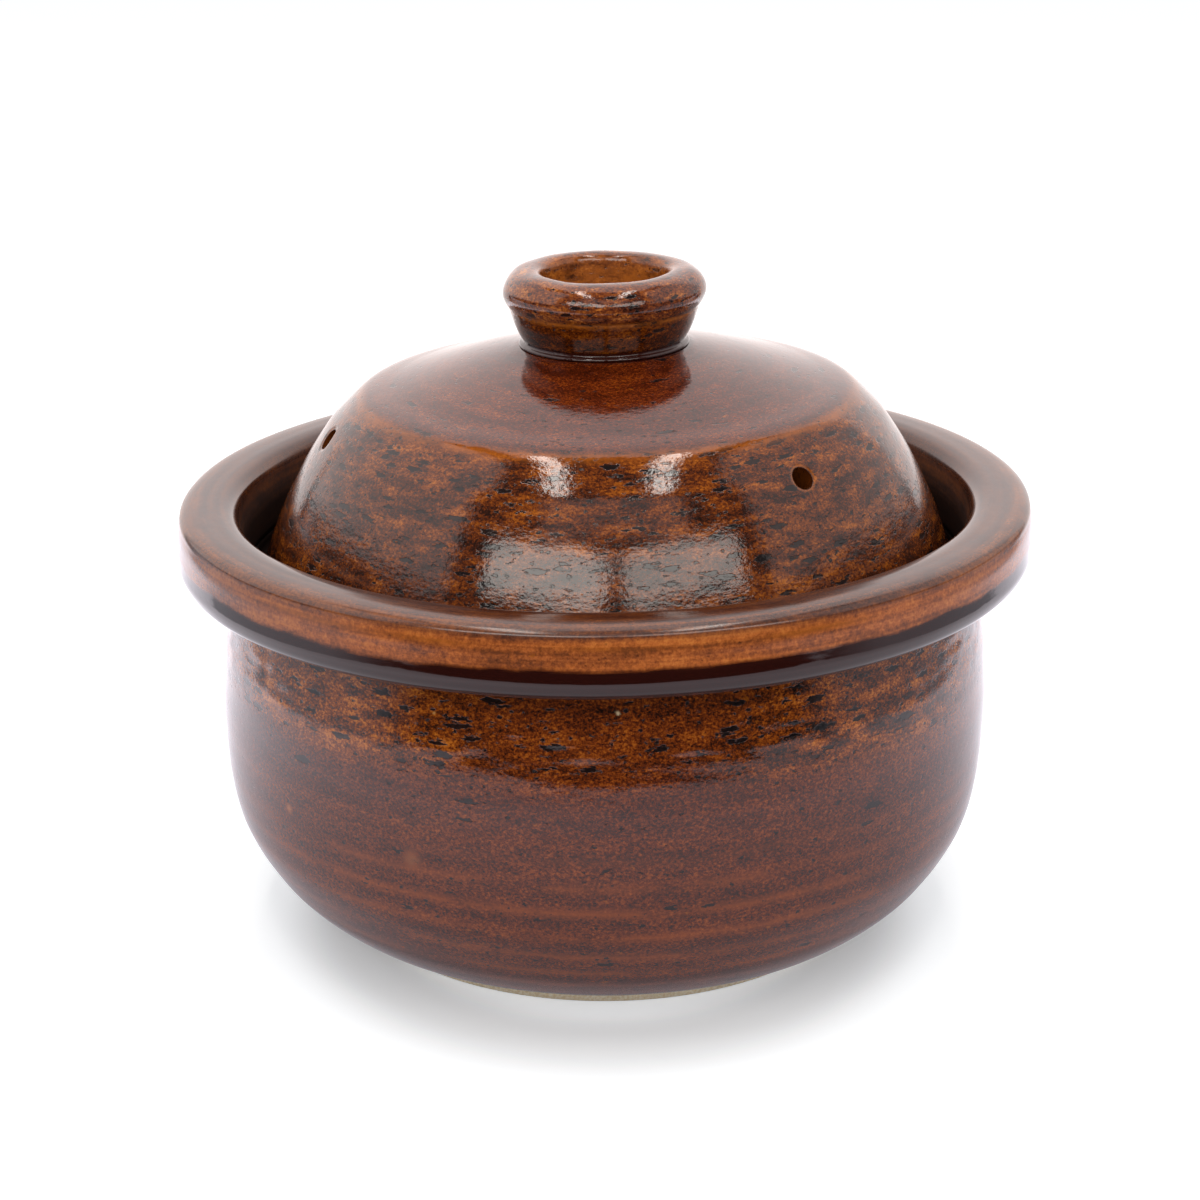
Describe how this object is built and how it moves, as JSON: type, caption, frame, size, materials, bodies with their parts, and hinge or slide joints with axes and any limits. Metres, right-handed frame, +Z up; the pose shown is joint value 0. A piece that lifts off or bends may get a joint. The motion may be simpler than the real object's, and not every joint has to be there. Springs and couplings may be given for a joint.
{
  "type": "donabe clay pot",
  "caption": "Round glazed stoneware rice pot with a deep flared collar, a domed lid with steam holes and a hollow knob, and a flat inner lid.",
  "frame": {"origin": "on the table, at the middle of the foot ring, under the axis that the pot was thrown about", "axes": "+Z up along the throwing axis; -Y towards the pictured side; +X to the right as seen in the picture"},
  "size_m": [0.231, 0.231, 0.18],
  "materials": {
    "amber_glaze": "glossy iron-brown amber glaze with dark specks",
    "inner_glaze": "the same glaze on the hidden inner lid, slightly darker"
  },
  "bodies": {
    "pot": {"pot_body": "amber_glaze", "collar": "amber_glaze"},
    "inner_lid": {"inner_lid": "inner_glaze", "inner_lid_knob": "inner_glaze"},
    "lid": {"lid_dome": "amber_glaze", "lid_knob": "amber_glaze"}
  },
  "joints": [
    {"name": "inner_lid_lift", "type": "slide", "parent": "pot", "child": "inner_lid", "axis": [0, 0, 1], "range_m": [0, 0.09]},
    {"name": "lid_lift", "type": "slide", "parent": "inner_lid", "child": "lid", "axis": [0, 0, 1], "range_m": [0, 0.1]}
  ]
}
